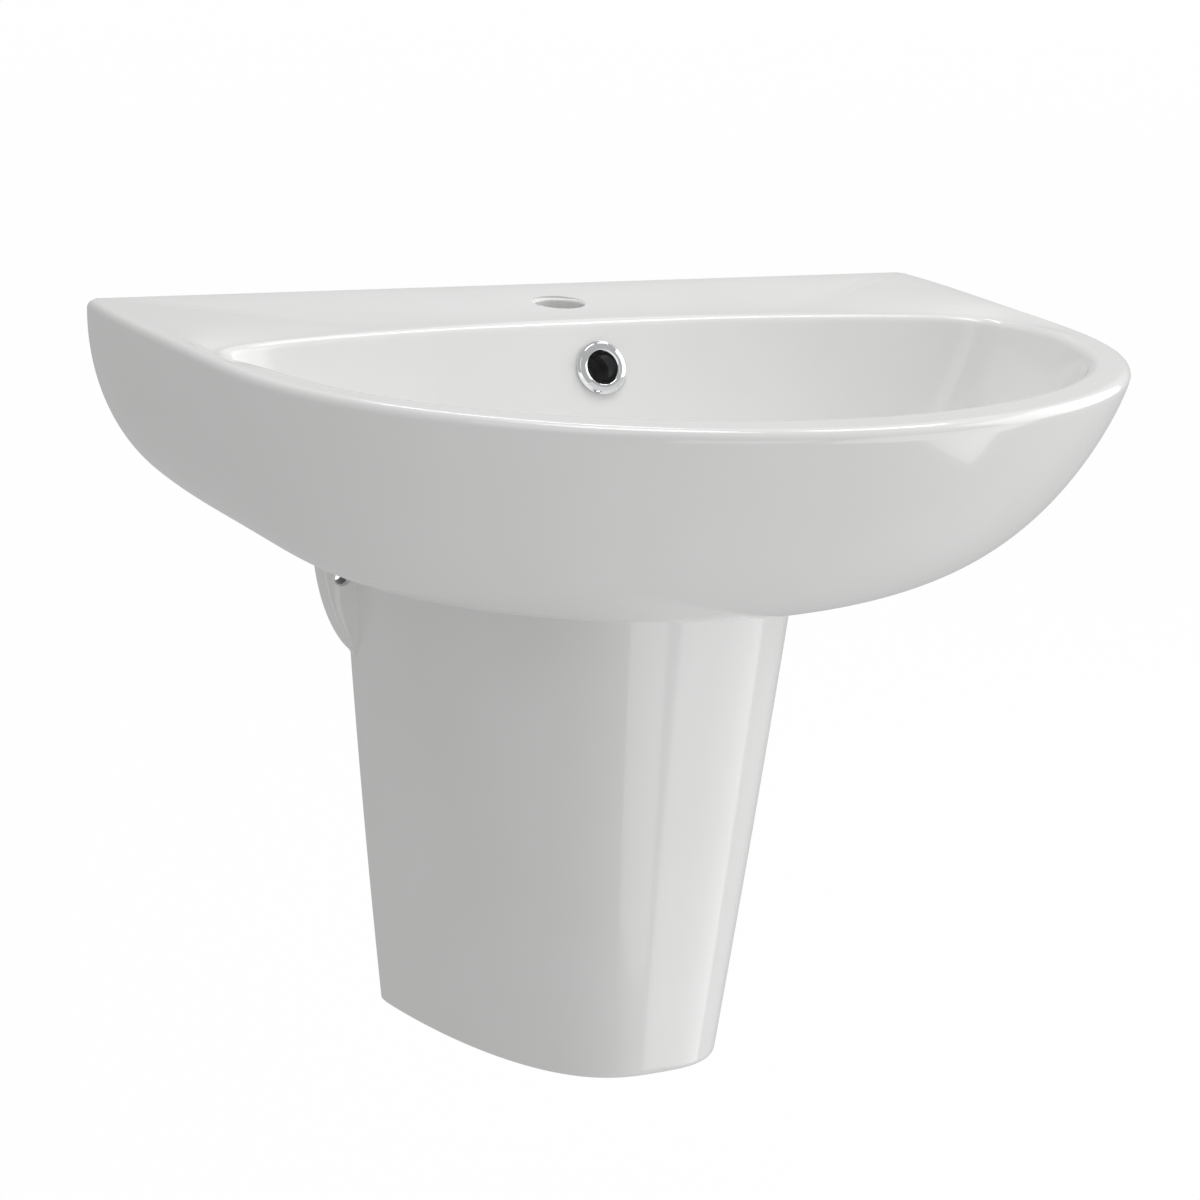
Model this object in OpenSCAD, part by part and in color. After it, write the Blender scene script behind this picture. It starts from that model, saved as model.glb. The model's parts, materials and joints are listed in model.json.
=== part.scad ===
// Wall-hung washbasin with a half pedestal, its waste, bottle trap and fixings.
// X runs to the right seen from the front, the front faces -Y, the wall is the plane y = 0.
// The origin is midway between the two wall bolts, on the wall. All heights below are given
// from the top of the rim, and rim_z lifts them into this frame.

/* [Basin] */
// Width of the basin across its sides
basin_w = 650; // [540:5:780]
// Depth from the wall to the front of the rim
basin_d = 502; // [450:1:600]
// Height from the foot to the top of the rim
basin_h = 157; // [150:1:190]
// Thickness of the china skin
china_t = 12; // [10:1:14]
// Thickness of the deck under the tap
deck_t = 16; // [12:1:20]
// Radius of the rim's outer edge
rim_r = 6; // [3:1:8]
// Radius of the bowl's top edge
mouth_r = 8; // [5:1:10]
// Radius of the two corners at the wall
corner_r = 3; // [2:1:12]
// Width of the rim at the front
rim_front = 30; // [22:1:36]
// Width of the rim at the sides
rim_side = 22; // [18:1:30]
// Depth of the deck, from the wall to the bowl's back edge
deck_d = 115; // [105:1:125]
// How far the bowl's back edge comes forward 200 mm off centre
mouth_bow = 22; // [10:1:30]
// Fall of the deck towards the bowl
deck_fall = 5.5; // [0:0.5:8]
// Half width of the foot over that of the rim, at the wall
foot_wide = 0.42; // [0.38:0.01:0.46]
// Depth of the foot over that of the rim
foot_deep = 0.60; // [0.55:0.01:0.66]

/* [Bowl and holes] */
// Depth of the bowl at its floor
bowl_depth = 130; // [118:1:132]
// Rise over run of the bowl's wall at its top edge
bowl_slope = 2.6; // [2.2:0.1:3]
// Radius of the flat floor round the waste
floor_r = 37; // [36:1:42]
// Distance of the waste from the wall
waste_y = 228; // [222:1:236]
// Diameter of the waste hole
waste_hole_d = 46; // [44:1:48]
// Diameter of the tap hole
tap_hole_d = 35; // [32:1:36]
// Distance of the tap hole from the wall
tap_y = 60; // [50:1:66]
// Height of the overflow below the rim
overflow_drop = 37; // [34:1:44]
// Diameter of the overflow hole
overflow_hole_d = 26; // [22:1:28]
// Distance between the two wall bolts
bolt_span = 200; // [160:5:210]
// Height of the wall bolts below the rim
bolt_drop = 95; // [80:1:105]
// Diameter of the bolt holes in the china
bolt_hole_d = 16; // [14:1:18]

/* [Half pedestal] */
// Half width at the top, at the wall
ped_w_top = 138; // [130:1:150]
// Half width at the bottom, at the wall
ped_w_bottom = 96; // [80:1:110]
// Depth at the top
ped_d_top = 296; // [285:1:315]
// Depth at the bottom
ped_d_bottom = 269; // [262:1:285]
// Height at the wall
ped_h = 388; // [320:1:470]
// Rise of the bottom edge for each mm away from the wall
ped_lift = 0.16; // [0:0.01:0.2]
// Thickness of the pedestal's wall
ped_t = 12; // [9:1:14]
// Gap between the basin's foot and the pedestal
ped_gap = 1.5; // [1:0.5:4]
// Width of each fixing ear
ear_w = 24; // [22:1:32]
// Height of each fixing ear
ear_h = 106; // [90:1:125]
// Diameter of the screw holes in the ears
ear_hole_d = 9; // [7:1:10]
// Height of the screw holes below the rim
ear_hole_drop = 206; // [195:1:220]

/* [Fixings] */
// Diameter of the wall bolts
bolt_d = 10; // [8:1:12]
// Length of the bolts in the wall
bolt_in_wall = 60; // [40:1:80]
// Length of the bolts in front of the wall
bolt_out = 44; // [36:1:60]
// Diameter of the bolt washers
bolt_washer_d = 30; // [24:1:34]

/* [Waste] */
// Outside diameter of the waste's threaded tail
tail_d = 41.6; // [38:0.1:42]
// Wall of the waste's tail
tail_t = 3; // [2:0.5:4]
// Diameter of the waste's flange
waste_flange_d = 64; // [60:1:66]
// Length of the waste's tail below the basin
tail_out = 67.5; // [56:0.5:90]
// Diameter of the plug
plug_d = 60; // [56:1:61]
// Travel of the plug
plug_travel = 8; // [5:1:10]

/* [Trap] */
// Outside diameter of the pipes
pipe_d = 32; // [28:1:34]
// Wall of the pipes
pipe_t = 1.2; // [1:0.1:2]
// Diameter of the trap's body
trap_d = 64; // [60:1:68]
// Length of pipe that shows between the waste's lower nut and the trap's top nut
dip_show = 5.5; // [3:0.5:40]
// Length of the outlet pipe in the wall
pipe_in_wall = 42; // [30:1:60]
// Length of the trap's cup
cup_l = 58; // [50:1:70]
// Diameter of the pipe's wall flange
rose_d = 70; // [60:1:80]

/* [Hidden] */
rim_z = bolt_drop;
eps = 0.01;
past = 10;
round_fn = 96;

// ---- shared sizes ----
seat_drop = 4;
waste_flange_t = 4;
gasket_t = 1.5;
seat_z = -bowl_depth - seat_drop;
flange_z = seat_z + gasket_t;
plug_z = flange_z + waste_flange_t;
foot_z = -basin_h;
tail_end = foot_z - tail_out;
tail_l = flange_z - tail_end;
ped_top = foot_z - ped_gap;
taper_l = 10;
slip_t = 2;
back_nut_l = 12;
fit = 0.2;
pipe_r = pipe_d / 2;
trap_r = trap_d / 2;
tail_r = tail_d / 2;

// ---- outline of the rim: a polar curve about the waste, cut off by the wall ----
wave = [1, -0.343, 0.223, -0.091, 0.022];
function rim_wave(a) = wave[0] + wave[1] * cos(a) + wave[2] * cos(2 * a)
    + wave[3] * cos(3 * a) + wave[4] * cos(4 * a);
rim_sx = basin_w / 2 / max([for (a = [0:2:180]) rim_wave(a) * sin(a)]);
rim_sy = (basin_d - waste_y) / rim_wave(0);
function rim_at(a) = [rim_sx * rim_wave(a) * sin(a), -waste_y - rim_sy * rim_wave(a) * cos(a)];
// Halve the span of angles until the curve is at the given distance from the wall
function angle_at(y, low, high, n) = n == 0 ? low
    : rim_at((low + high) / 2)[1] > y ? angle_at(y, low, (low + high) / 2, n - 1)
    : angle_at(y, (low + high) / 2, high, n - 1);
side_end = angle_at(-corner_r, 90, 175, 24);
corner_x = rim_at(side_end)[0] - corner_r;
curve_n = 84;
arc_n = 3;
wall_n = 10;
rim = concat(
    [for (i = [0:curve_n]) rim_at(side_end * (2 * i / curve_n - 1))],
    [for (i = [1:arc_n]) let (b = 90 * i / arc_n)
        [corner_x + corner_r * cos(b), -corner_r + corner_r * sin(b)]],
    [for (i = [0:wall_n]) [corner_x * (1 - 2 * i / wall_n), past]],
    [for (i = [arc_n:-1:1]) let (b = 90 * i / arc_n)
        [-corner_x - corner_r * cos(b), -corner_r + corner_r * sin(b)]]);
rim_n = len(rim);
centre = [0, -waste_y];

// ---- mouth of the bowl: the rim's inset in front, a shallow arc behind ----
mouth_power = 14;
bow_k = mouth_bow / pow(200, 2);
back_gap = waste_y - deck_d;
function smooth(t) = let (u = min(1, max(0, t))) u * u * (3 - 2 * u);
function front_mouth(reach, e) = reach - rim_side - (rim_front - rim_side) * pow(max(0, -e[1]), 2);
function back_mouth(e) = 2 * back_gap
    / (e[1] + sqrt(e[1] * e[1] + 4 * bow_k * e[0] * e[0] * back_gap) + eps);
function mouth(reach, e) = pow(pow(front_mouth(reach, e), -mouth_power)
    + pow(max(eps, back_mouth(e)), -mouth_power), -1 / mouth_power);

// ---- height of the top surface along one ray from the waste ----
mouth_a = atan(bowl_slope);
mouth_out = mouth_r * sin(mouth_a) / 2;
floor_rise = 5;
bowl_n = 13;
edge_n = 4;
deck_n = 4;
fall_from = 165;
fall_over = 100;
function edge_z(y) = -deck_fall * (1 - smooth((-y - fall_from) / fall_over));
function wall_z(z) = z - mouth_r * (1 - cos(mouth_a));
function bowl_power(r1, z1) = bowl_slope * (r1 - floor_r) / (bowl_depth + z1 - floor_rise);
function bowl_z(r, r1, z1) = let (q = max(0, (r - floor_r) / (r1 - floor_r)))
    z1 - (bowl_depth + z1 - floor_rise) * (1 - pow(q, bowl_power(r1, z1))) - floor_rise * (1 - q);
function put(e, r, z) = [centre[0] + e[0] * r, centre[1] + e[1] * r, z];
function ray(p) = let (
        v = p - centre,
        reach = norm(v),
        e = v / reach,
        m = mouth(reach, e),
        ze = edge_z(centre[1] + e[1] * m),
        r1 = m - mouth_out,
        z1 = wall_z(ze),
        r2 = m + mouth_out,
        r3 = reach - rim_r)
    concat(
        [for (k = [1:bowl_n]) let (r = floor_r + (r1 - floor_r) * sqrt((k - 1) / (bowl_n - 1)))
            put(e, r, bowl_z(r, r1, z1))],
        [for (k = [1:edge_n]) let (b = mouth_a * (1 - k / edge_n))
            put(e, r2 - mouth_r * sin(b), ze - mouth_r * (1 - cos(b)))],
        [for (k = [1:deck_n]) let (f = k / deck_n) put(e, r2 + (r3 - r2) * f, ze * smooth(1 - f))],
        [for (k = [1:edge_n]) let (b = 90 * k / edge_n)
            put(e, r3 + rim_r * sin(b), -rim_r * (1 - cos(b)))]);

// ---- skin below the rim: the outline shrinks towards the foot ----
skin_n = 14;
side_power = 2;
front_power = 1;
skin_power = 2.8;
function shrink(s, w) = let (k = foot_wide + (foot_deep - foot_wide) * w,
        p = side_power + (front_power - side_power) * w)
    k + (1 - k) * pow(1 - pow(s, p), 1 / skin_power);
function skin_z(s) = -rim_r - (basin_h - rim_r) * s;
function skin(p) = let (w = max(0, -p[1] / basin_d))
    [for (k = [1:skin_n]) let (s = sin(90 * k / skin_n), g = shrink(min(1, s), w))
        [p[0] * g, p[1] > 0 ? past : p[1] * g, skin_z(s)]];

// ---- back wall of the bowl on the centre line, and its offset by a thickness ----
back_r1 = back_gap - mouth_out;
back_z1 = wall_z(-deck_fall);
function back_point(q) = let (r = floor_r + (back_r1 - floor_r) * q)
    [-waste_y + r, bowl_z(r, back_r1, back_z1)];
function back_normal(q) = let (d = back_point(q) - back_point(q - eps), u = d / norm(d)) [u[1], -u[0]];
function back_offset(q, t) = back_point(q) + t * back_normal(q);
function q_at_z(z, low, high, n) = n == 0 ? low
    : back_point((low + high) / 2)[1] > z ? q_at_z(z, low, (low + high) / 2, n - 1)
    : q_at_z(z, (low + high) / 2, high, n - 1);
overflow_q = q_at_z(-overflow_drop, 0.1, 1, 24);
overflow_at = back_point(overflow_q);
overflow_n = back_normal(overflow_q);
overflow_tilt = atan2(-overflow_n[1], overflow_n[0]);

// ---- overflow passage inside the back wall ----
passage_d = 12;
passage_t = 36;
passage_w = 50;
passage_z = (foot_z - bowl_depth) / 2;
overflow_l = 24;
passage_run = 56;
passage_top = overflow_at + overflow_n * (overflow_l - passage_d / 2);
passage_mid = [passage_top[0] - passage_run, passage_z];
passage_end = [-waste_y + waste_hole_d / 2 - 4, passage_z];

// ---- pockets that lighten the china behind the bowl ----
hollow_w = 2 * (foot_wide * rim_at(side_end)[0] - china_t);
flange_t = 14;
pocket_d = deck_d - 22;
pocket_x = hollow_w / 2 + china_t;

module basin() {
    color("white") translate([0, 0, rim_z]) difference() {
        china_body();
        translate([-basin_w, 0, -basin_h - past]) cube([2 * basin_w, 4 * past, basin_h + 3 * past]);
        hollow(china_t, -hollow_w / 2, -passage_w / 2 + eps);
        hollow(passage_t, -passage_w / 2, passage_w / 2);
        hollow(china_t, passage_w / 2 - eps, hollow_w / 2);
        side_pocket();
        mirror([1, 0, 0]) side_pocket();
        basin_holes();
    }
}

module china_body() {
    rays = [for (p = rim) concat(ray(p), skin(p))];
    rows = len(rays[0]);
    points = concat([for (j = [0:rows - 1]) for (i = [0:rim_n - 1]) rays[i][j]],
        [[0, -waste_y, -bowl_depth], [0, -waste_y, -basin_h]]);
    top = rows * rim_n;
    polyhedron(points, concat(
        [for (i = [0:rim_n - 1]) [top, (i + 1) % rim_n, i]],
        [for (j = [0:rows - 2]) for (i = [0:rim_n - 1]) let (n = (i + 1) % rim_n)
            each [[j * rim_n + i, j * rim_n + n, (j + 1) * rim_n + n],
                [j * rim_n + i, (j + 1) * rim_n + n, (j + 1) * rim_n + i]]],
        [for (i = [0:rim_n - 1]) let (b = (rows - 1) * rim_n) [top + 1, b + i, b + (i + 1) % rim_n]]));
}

module hollow(t, x0, x1) {
    wall_pts = [for (q = [1:-0.125:0.1]) let (p = back_offset(q, t)) if (p[1] > foot_z + past) p];
    last = wall_pts[len(wall_pts) - 1];
    section = concat([[-flange_t, -deck_t], [wall_pts[0][0], -deck_t]], wall_pts,
        [[last[0], foot_z - past], [-flange_t, foot_z - past]]);
    translate([x0, 0, 0]) rotate([90, 0, 90]) linear_extrude(x1 - x0) polygon(section);
}

module side_pocket() {
    x = rim_at(side_end)[0];
    low = [for (k = [1:9]) let (s = 0.1 * k) [shrink(s, 0) * x - china_t, skin_z(s) + china_t * s]];
    section = concat([[pocket_x, -deck_t], [low[0][0], -deck_t]],
        [for (p = low) if (p[0] > pocket_x + past) p], [[pocket_x, low[8][1] + china_t]]);
    translate([0, eps, 0]) rotate([90, 0, 0]) linear_extrude(pocket_d) polygon(section);
}

module basin_holes() {
    translate([0, -tap_y, -deck_t - past]) cylinder(d = tap_hole_d, h = deck_t + 2 * past, $fn = round_fn);
    translate([0, -waste_y, foot_z - past]) cylinder(d = waste_hole_d, h = basin_h, $fn = round_fn);
    translate([0, -waste_y, seat_z]) cylinder(r = floor_r - 2, h = 2 * seat_drop, $fn = round_fn);
    overflow_axis() translate([0, 0, -overflow_l])
        cylinder(d = overflow_hole_d, h = overflow_l + past, $fn = round_fn);
    rod(passage_top, passage_mid, passage_d);
    rod(passage_mid + [passage_d / 4, 0], passage_end, passage_d - 2);
    for (x = [-1, 1])
        translate([x * bolt_span / 2, past, -bolt_drop]) rotate([90, 0, 0])
            cylinder(d = bolt_hole_d, h = flange_t + 2 * past, $fn = 48);
}

// A round bar between two points [y, z] on the centre line
module rod(a, b, d) {
    v = b - a;
    translate([0, a[0], a[1]]) rotate([atan2(-v[0], v[1]), 0, 0]) cylinder(d = d, h = norm(v), $fn = 32);
}

// Puts its children on the overflow, with +Z out into the bowl
module overflow_axis() {
    translate([0, overflow_at[0], overflow_at[1]])
        rotate([90 - overflow_tilt, 0, 0]) children();
}

// ---- half pedestal: a tapering shroud open at the back, top and bottom ----
ped_swell = 2;
ped_round = 4;
side_shape = 0.68;
front_shape = 0.88;
ped_levels = 12;
ped_steps = 40;
function ped_s(k) = k < ped_levels ? k * (1 - ped_round / ped_h) / (ped_levels - 1)
    : 1 - (1 - (k - ped_levels + 1) / 2) * ped_round / ped_h;
function ped_w(s) = ped_w_top + (ped_w_bottom - ped_w_top) * s + 4 * ped_swell * s * (1 - s);
function ped_d(s) = ped_d_top + (ped_d_bottom - ped_d_top) * s;
function half_oval(w, d, i) = let (a = 180 * i / ped_steps, c = cos(a))
    [-w * sign(c) * pow(abs(c), side_shape), -d * pow(sin(a), front_shape)];
function ped_point(p, s) = [p[0], p[1] < -eps ? p[1] : past,
    ped_top - ped_h * s - min(0, p[1]) * ped_lift * s];
function ped_inset(k) = k < ped_levels ? 0 : ped_round * (k - ped_levels + 1) / 4;
function ped_loop(k) = let (s = ped_s(k), o = ped_inset(k), w = ped_w(s) - o, d = ped_d(s) - o)
    concat([for (i = [0:ped_steps]) ped_point(half_oval(w, d, i), s)],
        [for (i = [ped_steps:-1:0]) ped_point(half_oval(w + o - ped_t, d + o - ped_t, i), s)]);

module semi_pedestal() {
    color("white") translate([0, 0, rim_z]) difference() {
        union() {
            difference() {
                shroud();
                translate([-basin_w, 0, ped_top - 2 * ped_h]) cube([2 * basin_w, 4 * past, 3 * ped_h]);
            }
            ear();
            mirror([1, 0, 0]) ear();
        }
        for (x = [-1, 1])
            translate([x * ear_hole_x, past, -ear_hole_drop]) rotate([90, 0, 0])
                cylinder(d = ear_hole_d, h = 4 * past, $fn = 48);
    }
}

module shroud() {
    loops = [for (k = [0:ped_levels + 1]) ped_loop(k)];
    n = len(loops[0]);
    rows = len(loops);
    m = ped_steps;
    polyhedron([for (l = loops) each l], concat(
        [for (j = [0:rows - 2]) for (i = [0:n - 1]) let (q = (i + 1) % n)
            each [[j * n + i, j * n + q, (j + 1) * n + q], [j * n + i, (j + 1) * n + q, (j + 1) * n + i]]],
        [for (i = [0:m - 1]) each [[i, n - 1 - i, n - 2 - i], [i, n - 2 - i, i + 1]]],
        [for (i = [0:m - 1]) let (b = (rows - 1) * n)
            each [[b + i, b + n - 2 - i, b + n - 1 - i], [b + i, b + i + 1, b + n - 2 - i]]]));
}

ear_top = ped_top - 2;
ear_hole_s = (ear_hole_drop + ped_top) / ped_h;
ear_hole_x = ped_w(ear_hole_s) + ear_hole_d / 2 + 3;
function ear_x(u) = ped_w(u * ear_h / ped_h) + ear_w * pow(max(0, 1 - pow(u, 3)), 0.8);
module ear() {
    edge = [for (i = [0:16]) let (u = sin(90 * i / 16)) [ear_x(u), ear_top - ear_h * u]];
    inner = ped_w(ear_h / ped_h) - ped_t / 2;
    rotate([90, 0, 0]) linear_extrude(ped_t)
        polygon(concat(edge, [[inner, ear_top - ear_h], [inner, ear_top]]));
}

// ---- overflow ring ----
ring_r = 18.8;
ring_bore_r = 11.4;
ring_t = 4;
ring_stand = 1;
module overflow_ring() {
    spigot_l = 12;
    color("silver") translate([0, 0, rim_z]) overflow_axis() translate([0, 0, ring_stand])
        rotate_extrude($fn = round_fn) polygon([[ring_bore_r, -spigot_l], [overflow_hole_d / 2 - fit, -spigot_l],
            [overflow_hole_d / 2 - fit, 0], [ring_r, 0], [ring_r, 1], [ring_r - 1.5, 2.6],
            [ring_r - 4, ring_t - 0.4], [ring_r - 5, ring_t], [ring_bore_r + 1, ring_t - 0.4],
            [ring_bore_r, ring_t - 1.4]]);
}

// ---- wall fixings, one of each kind on both sides ----
bush_head_t = 3;
washer_t = 2;
nut_l = 8;
bush_r = bolt_hole_d / 2 - fit;
module both_bolts() {
    for (x = [-1, 1]) translate([x * bolt_span / 2, 0, rim_z - bolt_drop]) rotate([90, 0, 0]) children();
}

module hanger_bolts() {
    point_l = 10;
    thread_r = bolt_d / 2 - 0.1;
    color("silver") both_bolts() {
        cylinder(r = thread_r, h = bolt_out, $fn = 48);
        translate([0, 0, point_l - bolt_in_wall]) cylinder(d = bolt_d, h = bolt_in_wall - point_l, $fn = 48);
        translate([0, 0, -bolt_in_wall]) cylinder(r1 = 1, r2 = bolt_d / 2 - 1, h = point_l, $fn = 48);
    }
}

module bolt_bushes() {
    head_r = bolt_hole_d / 2 + 4;
    color("white") both_bolts() difference() {
        union() {
            translate([0, 0, 1]) cylinder(r = bush_r, h = flange_t - 1 + eps, $fn = 48);
            translate([0, 0, flange_t]) cylinder(r = head_r, h = bush_head_t, $fn = 48);
        }
        translate([0, 0, -past]) cylinder(r = bolt_d / 2 + fit, h = 4 * past, $fn = 48);
    }
}

module bolt_washers() {
    color("silver") both_bolts() translate([0, 0, flange_t + bush_head_t]) difference() {
        cylinder(d = bolt_washer_d, h = washer_t, $fn = 48);
        translate([0, 0, -past]) cylinder(r = bolt_d / 2 + fit, h = 2 * past, $fn = 48);
    }
}

module bolt_nuts() {
    across_flats = 17;
    color("silver") both_bolts() translate([0, 0, flange_t + bush_head_t + washer_t]) difference() {
        cylinder(d = across_flats / cos(30), h = nut_l, $fn = 6);
        translate([0, 0, -past]) cylinder(r = bolt_d / 2, h = 3 * past, $fn = 48);
    }
}

// ---- waste ----
tail_bore_r = tail_r - tail_t;
cross_z = tail_end + 34;
cross_t = 6;
cartridge_r = 8;
stem_r = 4;
module at_waste(z) {
    translate([0, -waste_y, rim_z + z]) children();
}

// A plain ring standing on z = 0
module ring(r_in, r_out, h) {
    difference() {
        cylinder(r = r_out, h = h, $fn = round_fn);
        translate([0, 0, -1]) cylinder(r = r_in, h = h + 2, $fn = round_fn);
    }
}

module waste_body() {
    slot_h = 10;
    slot_w = 16;
    color("silver") at_waste(tail_end) difference() {
        union() {
            cylinder(r = tail_r, h = tail_l, $fn = round_fn);
            translate([0, 0, tail_l]) cylinder(d1 = waste_flange_d - 1, d2 = waste_flange_d - 3,
                h = waste_flange_t, $fn = round_fn);
        }
        translate([0, 0, cross_z - tail_end + cross_t]) cylinder(r = tail_bore_r, h = tail_l, $fn = round_fn);
        translate([0, 0, -1]) cylinder(r = tail_bore_r, h = cross_z - tail_end + 1, $fn = round_fn);
        translate([0, 0, tail_l]) cylinder(r1 = tail_bore_r, r2 = plug_seat_r, h = waste_flange_t + eps,
            $fn = round_fn);
        cylinder(r = cartridge_r - 1.5, h = tail_l, $fn = 48);
        for (a = [0:120:240]) rotate([0, 0, a]) translate([12.5, 0, 0]) cylinder(r = 4, h = tail_l, $fn = 32);
        for (a = [0:90:90]) rotate([0, 0, a])
            translate([-tail_d, -slot_w / 2, passage_z - tail_end - slot_h / 2])
                cube([2 * tail_d, slot_w, slot_h]);
    }
}

plug_seat_r = 23;
module waste_gasket() {
    color("dimgray") at_waste(seat_z) ring(tail_r + fit, waste_flange_d / 2 - 1, gasket_t);
}

module waste_taper_seal() {
    color("dimgray") at_waste(foot_z - taper_l) difference() {
        union() {
            cylinder(r = 31, h = taper_l, $fn = round_fn);
            translate([0, 0, taper_l]) cylinder(r1 = waste_hole_d / 2 - fit, r2 = waste_hole_d / 2 - 1,
                h = 3, $fn = round_fn);
        }
        translate([0, 0, -1]) cylinder(r = tail_r + fit, h = 3 * taper_l, $fn = round_fn);
    }
}

module waste_slip_washer() {
    color("white") at_waste(foot_z - taper_l - slip_t) ring(tail_r + fit, 31, slip_t);
}

module waste_back_nut() {
    nut_r = 29;
    rim_l = 3;
    color("silver") at_waste(foot_z - taper_l - slip_t - back_nut_l) difference() {
        union() {
            cylinder(r = nut_r + 1, h = rim_l, $fn = 6);
            cylinder(r = nut_r, h = back_nut_l, $fn = 6);
            translate([0, 0, back_nut_l - rim_l]) cylinder(r = nut_r + 0.5, h = rim_l, $fn = round_fn);
        }
        translate([0, 0, -1]) cylinder(r = tail_r, h = back_nut_l + 2, $fn = round_fn);
    }
}

// ---- plug: the stem slides in a cartridge screwed into the waste's cross ----
cartridge_l = 30;
stem_gap = 0.05;
plug_lip = 1.2;
module plug_cartridge() {
    color("ivory") at_waste(cross_z) {
        difference() {
            union() {
                cylinder(r = cartridge_r - 1.5, h = cross_t, $fn = 48);
                translate([0, 0, cross_t]) cylinder(r = cartridge_r, h = cartridge_l - cross_t, $fn = 48);
            }
            translate([0, 0, -1]) cylinder(r = stem_r + stem_gap, h = cartridge_l + 2, $fn = 48);
        }
    }
}

module plug_stem() {
    color("silver") at_waste(cross_z + 4) cylinder(r = stem_r, h = plug_z + plug_lip - cross_z - 4, $fn = 48);
}

module plug_seal() {
    seal_r = 24;
    color("dimgray") at_waste(plug_z + 0.2) ring(seal_r - 4, seal_r + 2, plug_lip - 0.2);
}

module plug_cap() {
    crown = 4;
    edge = 1.6;
    ball_r = (pow(plug_d / 2, 2) + crown * crown) / (2 * crown);
    color("silver") at_waste(plug_z + plug_lip) union() {
        cylinder(d = plug_d, h = edge, $fn = round_fn);
        rotate_extrude($fn = round_fn) polygon(concat([[0, edge - eps]],
            [for (i = [8:-1:0]) let (x = plug_d / 2 * i / 8)
                [x, edge + sqrt(ball_r * ball_r - x * x) - ball_r + crown]]));
    }
}

// ---- bottle trap ----
washer_gap = 2;
collar_t = 3;
collar_r = tail_r - 1.5;
nut_wrap = 16;
inlet_lip = 4;
collar_z = tail_end - washer_gap;
nut_low = collar_z - collar_t - inlet_lip;
neck_l = 16;
top_nut_l = neck_l + 3;
neck_bare = 4;
trap_top = -nut_low + dip_show + top_nut_l + neck_bare;
outlet_below = 30;
neck_r = pipe_r + 5.5;
body_t = 2.6;
body_l = 66;
cup_z = -trap_top - body_l;
outlet_z = -trap_top - outlet_below;
branch_y = -waste_y + trap_r + 22;
module inlet_nut() {
    color("silver") at_waste(nut_low) difference() {
        ribbed(tail_r + 6, inlet_lip + collar_t + washer_gap + nut_wrap);
        translate([0, 0, inlet_lip]) cylinder(r = tail_r, h = 3 * nut_wrap, $fn = round_fn);
        translate([0, 0, -1]) cylinder(r = pipe_r + fit, h = nut_wrap, $fn = round_fn);
    }
}

// A hand nut's outside: a drum with grip ribs round it, a little shorter than the drum
module ribbed(r, h) {
    rib_n = 8;
    rib_short = 1.5;
    cylinder(r = r, h = h, $fn = round_fn);
    for (i = [0:rib_n - 1]) rotate([0, 0, 360 * (i + 0.5) / rib_n])
        translate([r - 0.5, 0, rib_short]) cylinder(r = 2.2, h = h - 2 * rib_short, $fn = 24);
}

module inlet_washer() {
    color("dimgray") at_waste(collar_z) ring(pipe_r - pipe_t, tail_r - 0.6, washer_gap);
}

module dip_pipe() {
    dip_end = cup_z - 30;
    color("silver") at_waste(dip_end) difference() {
        union() {
            cylinder(r = pipe_r, h = collar_z - dip_end, $fn = round_fn);
            translate([0, 0, collar_z - collar_t - dip_end]) cylinder(r = collar_r, h = collar_t, $fn = round_fn);
        }
        translate([0, 0, -1]) cylinder(r = pipe_r - pipe_t, h = tail_l * 3, $fn = round_fn);
    }
}

module top_seal() {
    color("dimgray") at_waste(-trap_top + neck_l) ring(pipe_r, neck_r - 0.5, 3);
}

module top_nut() {
    color("silver") at_waste(-trap_top + neck_bare) difference() {
        ribbed(neck_r + 5, top_nut_l);
        translate([0, 0, -1]) cylinder(r = neck_r, h = neck_l, $fn = round_fn);
        translate([0, 0, -1]) cylinder(r = pipe_r + fit, h = 4 * neck_l, $fn = round_fn);
    }
}

module trap_body() {
    shoulder_l = 8;
    lip_l = 12;
    branch_r = pipe_r + 1.6;
    color("silver") difference() {
        union() {
            at_waste(cup_z + lip_l) cylinder(r = trap_r, h = body_l - lip_l - shoulder_l, $fn = round_fn);
            at_waste(cup_z) cylinder(r = trap_r - 3, h = lip_l + eps, $fn = round_fn);
            at_waste(-trap_top - shoulder_l) cylinder(r1 = trap_r, r2 = trap_r - shoulder_l, h = shoulder_l,
                $fn = round_fn);
            at_waste(-trap_top - eps) cylinder(r = neck_r - fit, h = neck_l, $fn = round_fn);
            branch(branch_r + 3, -waste_y, branch_y);
        }
        at_waste(cup_z - 1) cylinder(r = trap_r - 3 - body_t, h = body_l - shoulder_l + 1, $fn = round_fn);
        at_waste(-trap_top - shoulder_l - eps) cylinder(r1 = trap_r - 3 - body_t, r2 = neck_r - 3,
            h = shoulder_l, $fn = round_fn);
        at_waste(-trap_top - 1) cylinder(r = pipe_r + fit, h = neck_l + 2, $fn = round_fn);
        branch(branch_r - 1.4, -waste_y, branch_y + 1);
    }
}

// A round bar along Y at the outlet's height, from y0 to y1
module branch(r, y0, y1) {
    translate([0, y0, rim_z + outlet_z]) rotate([-90, 0, 0]) cylinder(r = r, h = y1 - y0, $fn = round_fn);
}

// ---- cup: it screws up over the body's lower lip against a flat ring ----
cup_gap = 0.1;
cup_lip = 11;
module cup_seal() {
    color("dimgray") at_waste(cup_z + cup_lip - 0.8) ring(trap_r - 3 + cup_gap, trap_r - 0.4, 1.6);
}

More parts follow.
